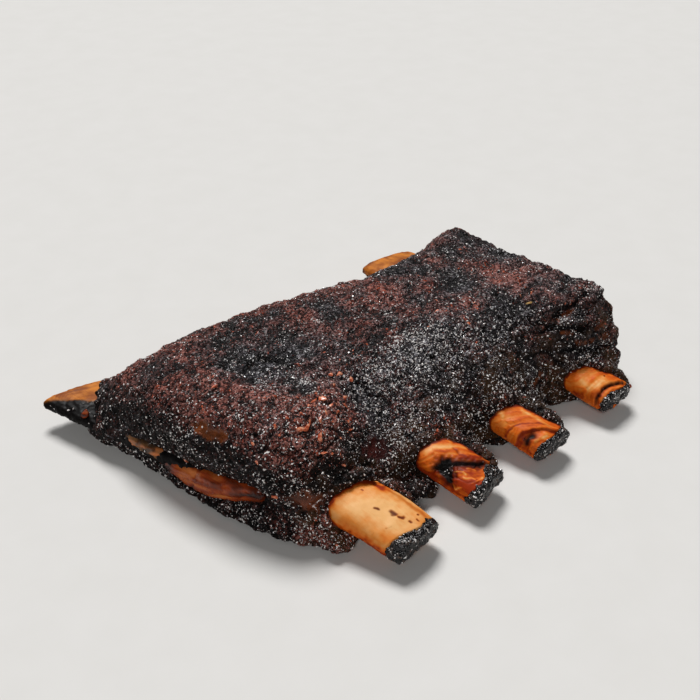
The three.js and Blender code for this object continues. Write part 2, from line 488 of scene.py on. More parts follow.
def char_material():
    """Burnt, lumpy, greasy black crust on the sawn bone ends."""
    material, shader = new_material("char")
    grains = shader.group(GRAIN, Scale=700.0)
    chance = grains["Chance"]
    colour = shader.palette(chance, [(0.0, CHAR_AND_SHADE_BLACK), (0.55, CHAR_AND_SHADE_BLACK), (0.85, CHAR_GREY),
                                     (1.0, CHAR_TAN)])
    shader.dress(colour, shader.remap(chance, 0.0, 1.0, 0.12, 0.36), 0.4,
                 shader.bump(grains["Height"], 0.9, 0.6 * MM))
    return material


def strip_material():
    """Greasy brown-orange fibrous tissue along the bared side of a bone."""
    material, shader = new_material("strip")
    place = shader.position()
    fibre = shader.noise(shader.stretched(place, (600.0, 60.0, 420.0), (0.0, 0.0, -0.2)), 1.0, 4.0, 0.6, 0.8)
    cloud = shader.noise(place, 90.0, 3.0)
    shade = shader.total((1, shader.attribute("tone")), (0.5, shader.centred(fibre)),
                         (0.7, shader.centred(cloud)))
    colour = shader.palette(shade, [(0.0, STRIP_OLIVE), (0.35, STRIP_ORANGE), (0.62, STRIP_RUST),
                                    (1.0, STRIP_BROWN)])
    colour = shader.mix(shader.attribute("dark"), colour, BARK_BLACK)
    shader.dress(colour, shader.remap(cloud, 0.3, 0.7, 0.15, 0.32), 0.3, shader.bump(fibre, 0.6, 0.4 * MM))
    return material


# ---------- bones ----------
bone_trees = {}
for bone in BONES:
    shape = cad_copy(bone)
    bone_trees[bone] = BVHTree.FromBMesh(shape)
    shape.free()


def depth_in_bones(point):
    """Signed distance in millimetres from the nearest bone's surface, negative inside it."""
    best = 1e9
    for tree in bone_trees.values():
        place, normal, _, distance = tree.find_nearest(point)
        outside = (point - place).dot(normal) >= 0
        best = min(best, (distance if outside else -distance) / MM)
    return best


# What a line does to the bone round it: how far it lifts the surface in millimetres, and what it adds
# to the tone (from cream to rust), the brown stain and the black: painted shade in cracks and cavities.
EFFECTS = {
    "rim": (0.0, 0.75, 0.3, 0.0),
    "edge": (0.0, 0.3, 0.3, 0.0),
    # Painted highlight: a paler band where light falls.
    "painted_highlight": (0.0, -0.3, 0.0, 0.0),
    "pale": (0.1, -0.5, 0.0, 0.0),
    "mark": (-0.12, 0.6, 0.9, 0.0),
    "amber": (0.0, 0.3, 0.0, 0.0),
    "crease": (-0.25, 0.3, 0.4, 0.0),
    "fibre": (0.3, -0.8, 0.0, 0.0),
    "flap": (0.7, -0.2, 0.0, 0.0),
    # Cracks and cavities are painted black: painted shade in the recesses.
    "crack": (-0.9, 0.0, 0.4, 1.0),
    "shaded_cavity": (-1.2, 0.1, 0.5, 1.3),
}
TONES = {"bone_1": 0.2, "bone_2": 0.72, "bone_3": 0.72, "bone_4": 0.66}
BONE_2_CRACK = Line((-38.9, -83, 18.4), (-35.2, -84.4, 20), (-32.2, -87.8, 19.9), (-27.9, -91.2, 20),
                    (-24.4, -95.3, 19.4), (-18.5, -100.2, 18.1))
BONE_3_CREASE = Line((12, -94, 8), (12.6, -95.4, 13), (13.6, -95.5, 16), (16.2, -95.6, 17.7),
                     (20, -98.4, 18.4), (24.6, -101.5, 18.3), (29.6, -106.9, 17.1))
BONE_4_CRACK = Line((72.8, -102.4, 10), (73.7, -102.3, 13), (75.7, -101.9, 15.8), (79.9, -101.9, 17.4),
                    (86.4, -103.1, 17.7), (95.4, -105.6, 15.8))
BONE_LINES = {
    "bone_1": [
        ("rim", 2.6, Line((-72.4, -78, 22), (-73, -72, 22.4), (-79.7, -67.3, 23.7), (-89.5, -66.5, 23.5),
                          (-96.5, -67.6, 21), (-99.4, -70, 16), (-99, -76, 9))),
        ("rim", 4.2, Line((-100, -74, 9), (-98, -90, 8), (-95, -104, 8))),
        ("edge", 1.8, Line((-71, -78, 21.6), (-69.8, -88, 20.6), (-70, -96, 19.5), (-68.5, -104, 17.4))),
        # Painted highlight along the top of bone 1.
        ("painted_highlight", 7.0, Line((-90, -78, 22), (-84, -92, 21))),
        ("amber", 6.0, Line((-97, -80, 15), (-94, -96, 14))),
        ("mark", 0.9, Line((-85.4, -85.8, 21.7), (-84.6, -87, 21.5))),
        ("mark", 1.3, Line((-81.6, -92.8, 20.7), (-80.6, -95.3, 20.3))),
        ("mark", 1.0, Line((-80.5, -97, 20), (-79, -98.2, 19.7))),
        ("mark", 0.7, Line((-78.5, -101.5, 19), (-78.4, -102.5, 18.7))),
        ("mark", 0.6, Line((-71.9, -100.6, 18.7), (-71.8, -101.4, 18.5))),
        ("mark", 0.6, Line((-74.6, -103.2, 18.4), (-74.8, -104.2, 18.2))),
        ("mark", 0.7, Line((-89.6, -96.9, 18.7), (-87.4, -98.2, 19))),
        ("mark", 0.5, Line((-81.7, -72.9, 23.2), (-81.5, -74.1, 23.1))),
    ],
    "bone_2": [
        ("pale", 2.2, Line((-35.5, -74, 21.8), (-30, -76, 22.4), (-24, -80, 22))),
        ("crease", 0.6, Line((-23.8, -82, 21.4), (-24.6, -87, 20.8), (-23.6, -90.9, 20.1),
                             (-20, -97.9, 18.8))),
        ("edge", 3.0, Line((-41, -74, 14), (-41.3, -82, 10), (-41, -92, 7))),
        ("edge", 4.5, Line((-32.2, -87.8, 19.9), (-24.4, -95.3, 19.4), (-18.5, -100.2, 18.1))),
        ("shaded_cavity", 3.6, Line((-33.2, -86.2, 20.2), (-36, -85, 19.4), (-37, -90, 18.3), (-36.5, -88, 18.8))),
        ("shaded_cavity", 3.2, Line((-37.8, -85.5, 18.2), (-38.6, -89.2, 16.8), (-39.4, -92, 14.5))),
        ("amber", 3.0, Line((-38, -96, 17), (-34, -104, 17))),
        ("crack", 2.6, BONE_2_CRACK),
        ("crease", 0.6, Line((-36.3, -91.7, 18.2), (-36.1, -95.8, 17.6), (-35.2, -100.6, 17),
                             (-31.2, -105.7, 17))),
        ("fibre", 0.5, Line((-33.8, -98, 18.2), (-32.1, -100.8, 17.9), (-31.3, -103, 17.5))),
        ("fibre", 0.5, Line((-39.9, -94.9, 13.8), (-40.1, -96.6, 12.1), (-38.9, -99.7, 14.5))),
        ("fibre", 0.45, Line((-34.9, -91.8, 18.8), (-32.2, -93.9, 19.2), (-32, -97.9, 18.5))),
        ("fibre", 0.45, Line((-35.3, -102.2, 16.6), (-32.3, -103.8, 17.2), (-26.9, -105, 17.5))),
        ("fibre", 0.4, Line((-28.4, -95, 19.3), (-25.4, -99.5, 18.5))),
    ],
    "bone_3": [
        ("pale", 1.3, Line((17.5, -77.8, 20.9), (17.2, -81.4, 20.3))),
        ("pale", 1.2, Line((27.9, -85.7, 20.9), (28.7, -94.4, 19.6), (29.4, -103.1, 17.9))),
        ("crease", 0.5, Line((12.2, -87.6, 9), (12.6, -87.8, 14), (13.3, -88.1, 16.6), (15.8, -89.3, 18.5),
                             (21.5, -93.3, 19.5), (27.3, -98.1, 19), (29.7, -103.6, 17.8))),
        ("crease", 0.8, BONE_3_CREASE),
        ("crack", 1.9, Line((12.9, -99.3, 13.6), (15.5, -99.4, 16.7), (18.6, -100.6, 17.8))),
        ("flap", 1.7, Line((12.9, -103.2, 12), (15, -102.6, 15.8), (19, -103, 17.3), (24.3, -105, 17.4))),
        ("pale", 0.8, Line((16.4, -103.6, 16.2), (20.5, -104.6, 17.3), (23.6, -106, 17.2))),
    ],
    "bone_4": [
        ("pale", 2.3, Line((77, -90, 18.7), (75.6, -95.3, 17), (79, -97.9, 18.2), (85.3, -98.8, 18.7))),
        ("edge", 2.4, Line((73, -90, 11), (74.6, -98, 12.6), (76, -101, 15))),
        ("crack", 0.9, BONE_4_CRACK),
        ("flap", 1.2, Line((74.8, -104.4, 14.1), (77.6, -104.1, 16.2), (83.6, -105.2, 17.2),
                           (89.7, -106.5, 17))),
    ],
}
# The outer layer of a bone stops at this line, and what is in front of it lies lower.
PEELS = {"bone_2": BONE_2_CRACK, "bone_3": BONE_3_CREASE, "bone_4": BONE_4_CRACK}
PEEL_DROP = 1.3
# Where the char begins on each sawn end.
CHAR_LINES = {
    "bone_1": Line((-98, -98, 3), (-95.5, -101.7, 9.5), (-91.8, -103.1, 15.9), (-88.2, -103.9, 17.4),
                   (-82.4, -105.4, 18.1), (-76.6, -106.4, 17.8), (-69.4, -104.6, 17.3), (-66, -104, 12),
                   (-68, -103, 3)),
    "bone_2": Line((-40, -101, 3), (-39.8, -102.5, 9), (-38.6, -104.2, 13.1), (-35.6, -105.3, 15.8),
                   (-30.9, -106.5, 16.8), (-25, -105.4, 17.4), (-18, -101.5, 17.4), (-12, -100, 10),
                   (-14, -99, 3)),
    "bone_3": Line((13, -103, 3), (13, -104.8, 8), (14.6, -106, 13.2), (18.6, -106.7, 16.1),
                   (22.4, -107.3, 16.8), (27.1, -107.2, 17), (34, -105.5, 16), (41, -102, 10),
                   (39, -101, 3)),
    "bone_4": Line((73, -102, 3), (73.2, -104.3, 9.4), (74.5, -104.8, 13.7), (79.5, -106.2, 16.2),
                   (87.8, -107.3, 16.7), (94, -107.4, 15.5), (100, -103, 10), (98, -102, 3)),
}


BACK_ENDS = {bone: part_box(bone)[1].y / MM for bone in BONES}
BACK_TIP = Vector((-141.2, 110.7, 14.5))
BACK_EDGE = Vector((18.2, -24.9, 0.0)).normalized()  # from the tip, along bone 1's burnt near side


def back_streak(bone, point):
    """Fibres on a bone's back end: along the bone, but on bone 1 they fan out from its tip."""
    if bone == "bone_1":
        angle = math.atan2(point.y - BACK_TIP.y, point.x - BACK_TIP.x + 4.0)
        return noise.noise(Vector((angle * 13.0, (point - BACK_TIP).length * 0.04, 2.0)))
    return 0.6 * noise.noise(Vector((point.x * 0.5, point.y * 0.12, point.z * 0.5)))


def back_char(bone, point, normal):
    """How burnt a bone's back end is: all of its underside, and all of bone 1's near side."""
    uneven = 2.2 * wave(point, 9.0)
    if bone == "bone_1":
        away = point - BACK_TIP
        side = BACK_EDGE.x * away.y - BACK_EDGE.y * away.x
        return max(ramp(-0.1, -0.5, normal.z), ramp(1.2, -1.2, side + 0.5 * uneven))
    tip = BACK_ENDS[bone]
    return max(ramp(-0.1, -0.5, normal.z + 0.15 * uneven),
               0.8 * ramp(tip - 3.0, tip + 1.5, point.y + uneven))


def sawn(bone, point):
    """Bone 2 is sawn slightly askew: its far corner ends sooner."""
    if bone == "bone_2" and point.x > -34:
        point.y += 3.4 * ramp(-34, -17, point.x) * ramp(-84, -106, point.y)
    return point


def shape_bone(bone, meat_tree):
    """A bone with its peeled layers, streaks and stains, stained and darkened with painted shade where the
    meat's crust meets it.
    """
    bm = remeshed(cad_copy(bone), BONE_VOXEL, bone)
    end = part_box(bone)[0].y / MM
    front = [v for v in bm.verts if v.co.y / MM < end + FRONT_REACH]
    soften(bm, 3)
    soften(bm, 8, front)
    edges = [e for e in bm.edges if all(v.co.y / MM < end + FRONT_REACH for v in e.verts)]
    bmesh.ops.subdivide_edges(bm, edges=edges, cuts=1, use_grid_fill=True, smooth=0.0)
    layers = add_shares(bm, "tone", "stain", "dark", "bare", "amber")
    for vert, point, normal in surface_points(bm):
        lift = 0.35 * wave(point, 16.0) + 0.12 * wave(point, 5.0)
        tone = TONES[bone] + 0.14 * wave(point + Vector((9, 4, 2)), 20.0)
        stain = dark = 0.0
        if point.y < end + FRONT_REACH:
            wander = point + noise.noise_vector(point / 3.5) * 0.8
            ragged = 1.0 + 0.5 * noise.noise(point / 2.2)
            for kind, width, line in BONE_LINES[bone]:
                share = math.exp(-(line.gap(wander) * ragged / width) ** (4 if kind == "mark" else 2))
                if share > 0.01:
                    effect = EFFECTS[kind]
                    lift += effect[0] * share
                    tone += effect[1] * share
                    stain = max(stain, effect[2] * share)
                    dark = max(dark, effect[3] * share)
            peel = PEELS.get(bone)
            if peel:
                beyond = peel.beyond(wander, normal)
                run = peel.run(wander)
                streak = noise.noise(Vector((beyond * 0.4, run * 0.06, 3.0)))
                thread = noise.noise(Vector((beyond * 0.9, run * 0.1, 9.0)))
                lift += 0.3 * streak + 0.1 * thread
                share = 0.4 if bone == "bone_2" else 0.22
                tone += share * streak + 0.2 * thread
                if normal.z > -0.2:
                    lift += PEEL_DROP * (0.3 * bell(beyond + 1.2, 1.6) - 0.8 * ramp(-0.5, 0.5, beyond))
                    tone += 0.1 * ramp(0, 1, beyond)
        else:
            streak = back_streak(bone, point)
            blotch = wave(point, 9.0)
            tone = 0.48 + 0.14 * streak + 0.2 * blotch
            stain = 0.14 + 0.22 * streak + 0.2 * blotch
            dark = back_char(bone, point, normal)
            lift += dark * (0.9 * clod(point, 4.5) + 0.6 * wave(point, 2.4) - 0.4)
        place, facing, _, near = meat_tree.find_nearest(vert.co)
        bare = 1.0 if (vert.co - place).dot(facing) > 0 else 0.0
        # Grime and painted shade: the bone turns browner where it meets the meat, and on bones 2 to 4
        # blacker.
        grime_and_shade = ramp(1.4, 0.3, near / MM + 0.5 * wave(point, 2.0))
        tone += 0.4 * grime_and_shade
        if bone == "bone_1":
            stain = max(stain, 0.35 * grime_and_shade)
        else:
            stain = max(stain, 0.6 * grime_and_shade)
            dark = max(dark, 0.3 * grime_and_shade)
        # Painted shade: bone 1 is darkened where it shows through the near side's windows, under the crust.
        if -45 < point.y < 64 and point.x < -100:
            dark = max(dark, 0.6)
        char_place = CHAR_LINES[bone].tree.find(point)[0]
        lift -= (1.6 + 1.4 * ramp(7.0, 3.0, point.z)) * ramp(0.0, -1.5, point.y - char_place.y)
        amber = ramp(end + FRONT_REACH - 1.0, end + FRONT_REACH + 1.0, point.y)
        keep_shares(vert, layers, tone=tone, stain=stain, dark=dark, bare=bare, amber=amber)
        vert.co = sawn(bone, point + normal * lift) * MM
        vert.co.z = max(vert.co.z, 0.0)
    return to_mesh(bm, bone)


def shape_char(bone):
    """The burnt crust over a bone's sawn end."""
    bm = cad_copy(bone)
    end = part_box(bone)[0].y
    bmesh.ops.bisect_plane(bm, geom=bm.verts[:] + bm.edges[:] + bm.faces[:], plane_co=(0, end + 15 * MM, 0),
                           plane_no=(0, 1, 0), clear_outer=True)
    bmesh.ops.holes_fill(bm, edges=[e for e in bm.edges if e.is_boundary], sides=0)
    bm = remeshed(bm, CHAR_VOXEL, bone + "_char")
    soften(bm, 8)
    line = CHAR_LINES[bone]
    for vert, point, normal in surface_points(bm):
        beyond = point.y - line.tree.find(point)[0].y + 1.2 * wave(point, 3.0, 2)
        burnt = ramp(0.6, -0.8, beyond)
        lumps = 1.0 * clod(point, 3.4) + 0.45 * wave(point, 1.8, 2) - 0.65 - 1.4 * ramp(7.0, 3.0, point.z)
        vert.co = sawn(bone, point + normal * (lumps * burnt - 2.2 * (1.0 - burnt))) * MM
        vert.co.z = max(vert.co.z, 0.0)
    return to_mesh(bm, bone + "_char")


# ---------- meat ----------
SLICKS = [  # centre, reach, brown share
    ((-59, -61, 29), (9, 7, 5.5), 0.0),
    ((-119.5, -8, 44), (6, 13, 4.5), 1.0),
    ((-106, -62.5, 23.5), (11, 8, 5.5), 0.5),
    ((-30, -72, 20), (9, 6, 3), 0.7), ((48, -74, 24), (12, 6, 3), 0.8),
]
CREASES = [  # deep folds in the crust: half width, depth, line
    (1.6, 2.4, Line((-96, 22, 55.5), (-90.5, 23.7, 56), (-88.7, 14.9, 56.7), (-84.3, 9.2, 57.2),
                    (-73.2, 12.8, 55.4), (-65.4, 13.9, 54.4), (-62.7, 6.9, 54.5), (-62.1, -2.2, 54.6),
                    (-59.7, -10, 54.6), (-51.3, -13, 54.6))),
    (1.5, 2.0, Line((-91.4, 0.9, 57.2), (-84.3, -4.4, 57.5), (-80.6, -12.8, 57.3), (-72.2, -16.1, 56))),
    (1.7, 3.0, Line((80, -64, 47), (85.4, -65.4, 48.7), (93.6, -66.7, 49.3), (101.8, -67, 50.8),
                    (113, -66, 51.5))),
    (1.7, 3.0, Line((76, -66, 44), (81.8, -69.8, 42.7), (86.2, -73, 41), (93, -75.8, 39.3),
                    (98.9, -76.5, 39.4))),
    (1.7, 3.0, Line((76, -76, 33), (79.7, -77.5, 32.2), (88.3, -81.4, 30.6), (97.2, -84.1, 27.9),
                    (106.4, -84.8, 27))),
    (1.5, 2.0, Line((-44.2, -33.2, 49.6), (-41.2, -40.2, 44.1), (-36.9, -46.6, 40.2), (-35, -54, 34))),
]
LEDGES = [  # bare greasy brown edges between the folds: half width, line
    (2.0, Line((86.3, -78.7, 34), (96.5, -81.6, 31.9), (105.7, -82.8, 30.8), (111.5, -82.6, 30.6))),
    (1.6, Line((83, -66.4, 45.8), (95.1, -68.2, 47.9))),
    (1.5, Line((103, -79, 36), (112, -78, 36.5))),
    (1.6, Line((80, -71, 40.5), (86, -75, 38.5))),
]
# Patches of the crust: centre, reach, share.
GREY_PATCHES = [
    ((-76, 4, 56), (20, 26, 16), 1.1), ((-50, -38, 48), (12, 14, 16), 0.8),
    ((-44, -2, 56), (20, 26, 12), 0.7),
]
# Painted sheen: silvery patches along the ridge, the brow and the low front.
SILVER_SHEEN_PATCHES = [
    ((-8, -38, 50), (36, 13, 11), 1.0), ((45, -56, 49), (34, 7, 6), 0.5),
    ((-40, -60, 32), (18, 12, 12), 0.35), ((92, -70, 45), (14, 5, 3), 0.6), ((88, -84, 26), (14, 6, 4), 0.6),
]
RED_PATCHES = [
    ((-95, -32, 48), (26, 34, 26), 0.34), ((-120, 50, 46), (26, 26, 20), 0.3),
    ((-96, -72, 8), (26, 18, 12), 1.0), ((91, -34, 56), (24, 20, 8), 0.45), ((34, -30, 58), (26, 8, 8), 0.4),
]


def zones(point, normal):
    """How red, olive, grey (painted sheen), silver (painted sheen), slick and brown the crust is at a point,
    as shares of 0 to 1.
    """
    x, y, z = point
    top = ramp(0.25, 0.75, normal.z)
    patch = 0.5 + 0.5 * wave(point + Vector((31, 7, 0)), 22.0)
    # Grey patches stand in for sheen, also on top faces towards the right: painted sheen.
    grey = spots(point, GREY_PATCHES) + 0.4 * top * ramp(-40, 30, x) + 0.15 * top
    grey = share_of(grey + 0.9 * (0.3 - patch))
    silver_sheen = spots(point, SILVER_SHEEN_PATCHES)
    silver_sheen += 0.2 * ramp(-28, -42, y) * ramp(24, 34, z) * ramp(-56, -40, x) * ramp(60, 20, x)
    silver_sheen = share_of(silver_sheen * (0.7 + 0.6 * patch))
    low_front = ramp(-50, -62, y) * ramp(50, 38, z)
    red = 0.14 + 0.48 * top + spots(point, RED_PATCHES) + 0.25 * low_front * ramp(20, 60, x)
    # Painted shade: the crust is less red, so darker, on the low front slope and on the near-left side.
    red -= 0.25 * low_front + 0.85 * grey + 0.6 * silver_sheen + 0.65 * ramp(-112, -122, x) * ramp(46, 38, z)
    red = share_of(red + 1.1 * (patch - 0.5))
    olive = share_of(low_front * (0.45 + 0.2 * ramp(0, 40, x) + 1.4 * (patch - 0.35)))
    slick = brown = 0.0
    uneven = 0.5 * wave(point, 4.0)
    for centre, reach, share in SLICKS:
        here = ramp(0.35, 0.75, spot(point, centre, reach) + uneven)
        if here > slick:
            slick, brown = here, share
    if x > 70 and y < -55:
        ledge = max(bell(line.gap(point), width) for width, line in LEDGES)
        ledge = 0.7 * ramp(0.4, 0.8, ledge * (1.0 + 1.6 * uneven))
        if ledge > slick:
            slick, brown = ledge, 0.8
    return {"red": red, "olive": olive, "grey": grey, "silver_sheen": silver_sheen, "slick": slick, "brown": brown}


# The two long windows low on the near side, as (along, height, half height).
GAPS = [
    [(54, 13.6, 1.2), (51, 13.8, 2.4), (44, 14.2, 3.2), (36, 14.4, 3.4), (28, 13.8, 3.0), (23, 12.6, 1.2)],
    [(20.5, 9.4, 1.4), (14.7, 9, 3.4), (7.2, 9, 4.4), (-0.3, 10.2, 5.2), (-7, 11.6, 5.2), (-12.8, 12.4, 5.0),
     (-19.6, 13.7, 4.6), (-28, 15.2, 3.6), (-34.8, 17, 2.2), (-38, 18, 1.0)],
]
STRIPS = {  # x, along, height, half height
    "side_strip_1": [(-128, 54, 13.8, 3.4), (-127.6, 50, 14, 4), (-126.8, 44, 14.2, 4.4),
                     (-126, 36, 14.3, 4.6), (-124.5, 28, 13.8, 4.2), (-123, 23, 12.4, 3.4)],
    "side_strip_2": [(-124.4, 22, 10.5, 3.2), (-124, 14.7, 10.4, 4.8), (-122.8, 7.2, 10.2, 5.8),
                     (-121.2, -0.3, 10.8, 6.4), (-120.5, -7, 12.2, 6.4), (-119, -12.8, 13, 6.2),
                     (-117, -19.6, 13.9, 5.6), (-114.5, -28, 15.4, 4.8), (-112, -36, 17.2, 3.8)],
    "tag_by_bone_1": [(-133, 79.8, 19.5, 1.6), (-133.6, 81, 16.5, 2.5), (-134.4, 82, 13, 2.6),
                      (-135, 82.4, 9.5, 1.4)],
    "tag_by_bone_4": [(98.6, -107.4, 13, 1.6), (99.6, -107.8, 11.4, 1.4)],
}
TONGUES = [  # lumps of crust over each bare bone's far side and at the foot between them: centre, radius
    (-97, -65.5, 23, 2.8), (-90, -65.2, 25.6, 4), (-84, -66, 25.9, 4.3), (-78, -67, 25.7, 4.3),
    (-73, -69.3, 24.9, 3.9), (-101.5, -69, 20.5, 2.7), (-104, -72, 15.5, 3.2), (-111, 92, 19, 5.5),
    (-117, 85, 20, 6), (-123, 79, 18.5, 5.5), (-127, 75, 15, 5.5), (-66, -78, 17, 6), (-64.5, -84, 13, 6),
    (-64, -90, 9, 5), (-61, -74, 10, 7), (-100, -80, 4.5, 4), (-104, -78, 5, 5), (-71.5, -71.5, 23.5, 3),
    (-55, -75, 6, 7), (-47, -78, 6, 6.5), (-41, -81, 4.5, 5), (-16, -76, 18, 6.5), (-14.5, -82, 17.5, 6),
    (-13.5, -88, 16.5, 6), (-13, -94, 15, 5.5), (-13, -99, 13, 4.5), (34.5, -83.5, 18, 6.5),
    (35.5, -89.5, 17.5, 6.5), (36.5, -95.5, 16.5, 6), (37.5, -101.5, 14, 5), (37.5, -105.5, 12, 3.5),
    (95, -86, 18, 6.5), (97, -92, 17, 6), (98.5, -98, 14.5, 5.5), (99.5, -102, 12, 4.5),
    (93, -88.5, 20.5, 4.2), (92.8, -93, 19.6, 3.4),
]


def gap_in_side(point):
    """How far inside the near side's windows a point is: 1 well inside one, 0 outside."""
    if point.x > -100:
        return 0.0
    for rows in GAPS:
        for (y0, z0, h0), (y1, z1, h1) in zip(rows, rows[1:]):
            if y1 <= point.y <= y0:
                t = (y0 - point.y) / (y0 - y1)
                off = abs(point.z - z0 - t * (z1 - z0)) + 0.9 * wave(point, 5.0)
                half = h0 + t * (h1 - h0)
                return ramp(half + 0.9, half - 0.6, off)
    return 0.0


def meat_skin():
    """The CAD meat with its tunnels closed and crust heaped round the bones, as one even skin."""
    bm = cad_copy("meat")
    lining = []
    for face in bm.faces:
        middle = face.calc_center_median()
        for tree in bone_trees.values():
            place, normal, _, distance = tree.find_nearest(middle)
            if distance < TUNNEL_LINING * MM and normal.dot(face.normal) < -0.3:
                lining.append(face)
                break
    bmesh.ops.delete(bm, geom=lining, context="FACES")
    rims = [e for e in bm.edges if e.is_boundary]
    bmesh.ops.holes_fill(bm, edges=rims, sides=0)
    bmesh.ops.triangulate(bm, faces=bm.faces)
    add_lumps(bm, TONGUES)
    skin = remeshed(bm, MEAT_VOXEL, "meat_skin")
    soften(skin, 8)
    return skin


def crust_relief(point):
    """The crust's own relief in millimetres: long folds, lumps, and coarse grains on them."""
    fold = noise.noise(Vector((point.x * 0.35 + point.y * 0.1, point.y, point.z * 0.8)) / 7.0)
    crease = 1.0 - ramp(0.0, 0.16, abs(fold))
    return (0.8 * clod(point, 7.0) + 0.55 * clod(point, 3.2) + 0.5 * wave(point, 3.4, 2)
            + 0.4 * wave(point, 1.9, 2) - 1.1 * crease)


SWELLS = [  # broad rises and hollows of the crust: centre, reach, height
    ((-76, 6, 56), (16, 28, 14), -3.4), ((-95, -36, 50), (18, 22, 16), 1.6), ((8, -43, 53), (56, 7, 9), 1.8),
    ((20, -14, 59), (60, 12, 10), -1.8), ((109, 28, 57), (9, 9, 9), 1.6), ((98, 8, 57), (12, 8, 9), -1.6),
    ((-30, 30, 56), (26, 16, 12), 1.2), ((-104, 44, 46), (16, 14, 12), 1.0),
    ((60, 24, 58), (22, 16, 10), 1.2),
    ((-50, -34, 48), (9, 16, 16), -2.2), ((-118, 12, 46), (8, 10, 10), -1.4),
    ((114, 3, 55), (11, 13, 12), -5.0), ((115, -36, 54), (10, 20, 12), -4.0),
]


MEAT_SHARES = ("red", "olive", "grey", "silver_sheen", "slick", "brown", "hollow_shade", "open")


def shape_meat():
    """The crust, with what shows where kept as shares on its points for its material and the loose rub."""
    bm = meat_skin()
    layers = add_shares(bm, *MEAT_SHARES)
    for vert, point, normal in surface_points(bm):
        shares = zones(point, normal)
        slick = shares["slick"]
        under = ramp(-0.4, -0.85, normal.z)
        rough = (1.0 - 0.85 * slick) * (1.0 - 0.8 * under)
        inside = gap_in_side(point)
        broad = 1.6 * wave(point, 17.0) + spots(point, SWELLS)
        broad -= 1.0 * slick + 5.0 * inside
        folds = ramp(80, 96, point.x) * ramp(-58, -68, point.y) * (1.0 - under)
        ledge = math.sin(point.z * 0.7 + 0.16 * point.x + 5.0 * wave(point, 19.0))
        broad += folds * (ledge * (0.7 + wave(point, 9.0)) - 0.3)
        wander = point + noise.noise_vector(point / 5.0) * 1.6
        crease = max(bell(line.gap(wander), width) * depth for width, depth, line in CREASES)
        broad -= crease
        off_bones = depth_in_bones(vert.co)
        edge = ramp(3.0, 0.5, off_bones)
        relief = crust_relief(point)
        moved = point + normal * (broad * ramp(1.0, 8.0, off_bones) + rough * relief * (1.0 - 0.5 * edge)
                                  - 0.6 - 0.4 * edge)
        moved.z = min(MEAT_TOP, max(moved.z, 0.0 if under > 0.5 else 0.15))
        vert.co = moved * MM
        # Painted shade: the hollow share darkens the deep places of the relief and the creases.
        shares["hollow_shade"] = min(1.0, ramp(0.55, -0.4, relief) + ramp(0.5, 2.0, crease))
        bare = moved.z < 1.0 or depth_in_bones(vert.co) < 0.3
        shares["open"] = 0.0 if bare else (1.0 - 0.78 * slick) * (1.0 - 0.4 * inside)
        keep_shares(vert, layers, **shares)
    return to_mesh(bm, "meat")


def shape_strip(name, lumps):
    """A fibrous strip or tag of tissue."""
    bm = bmesh.new()
    for (x0, y0, z0, r0), (x1, y1, z1, r1) in zip(lumps, lumps[1:]):
        for t in (0.0, 0.25, 0.5, 0.75):
            place = Vector((x0 + t * (x1 - x0), y0 + t * (y1 - y0), z0 + t * (z1 - z0))) * MM
            radius = r0 + t * (r1 - r0)
            matrix = Matrix.Translation(place) @ Matrix.Diagonal((0.55, 1.0, 1.0, 1.0))
            bmesh.ops.create_icosphere(bm, subdivisions=3, radius=radius * MM, matrix=matrix)
    bm = remeshed(bm, STRIP_VOXEL, name)
    soften(bm, 6)
    layers = add_shares(bm, "tone", "dark")
    for vert, point, normal in surface_points(bm):
        strand = noise.noise(Vector((point.x * 0.3, point.y * 0.05, (point.z + 0.25 * point.y) * 0.55)))
        lift = 0.7 * strand + 0.5 * wave(point, 6.0)
        tone = 0.05 + 0.6 * strand
        dark = ramp(0.1, 0.7, wave(point, 5.0) + 0.3) if name == "side_strip_1" else 0.0
        if name == "side_strip_2":
            step = ramp(-1.0, 1.0, 0.5 - point.y - 0.3 * (point.z - 10))
            ends = 0.3 * ramp(-18, -36, point.y) + 0.45 * ramp(7, 20, point.y)
            tone = max(0.33, 0.48 + 0.14 * step + ends + 0.35 * strand)
            # Painted shade: a darker line where the strip's two layers meet.
            tone += 0.2 * bell(point.y - 1.5 + 0.3 * (point.z - 10), 1.2)
            lift += 1.0 * step
        elif name.startswith("tag"):
            tone = 0.62 + 0.6 * strand
        vert.co += normal * lift * MM
        keep_shares(vert, layers, tone=tone, dark=0.75 * dark)
    return to_mesh(bm, name)


# ---------- loose rub ----------
def grain_shapes(seed, count, stretch, rough, flake=False):
    """A few irregular grains of about 1 mm across: flat flakes, or crystals of eight facets."""
    dice = random.Random(seed)
    shapes = []
    for _ in range(count):
        bm = bmesh.new()
        if flake:
            bmesh.ops.create_icosphere(bm, subdivisions=1, radius=0.5 * MM)
        else:
            bmesh.ops.create_uvsphere(bm, u_segments=4, v_segments=2, radius=0.55 * MM)
        for vert in bm.verts:
            vert.co *= 1.0 + dice.uniform(-rough, rough)
        size = [dice.uniform(*span) for span in stretch]
        bmesh.ops.scale(bm, vec=size, verts=bm.verts)
        bmesh.ops.triangulate(bm, faces=bm.faces)
        shapes.append(to_mesh(bm, "grain"))
    return shapes


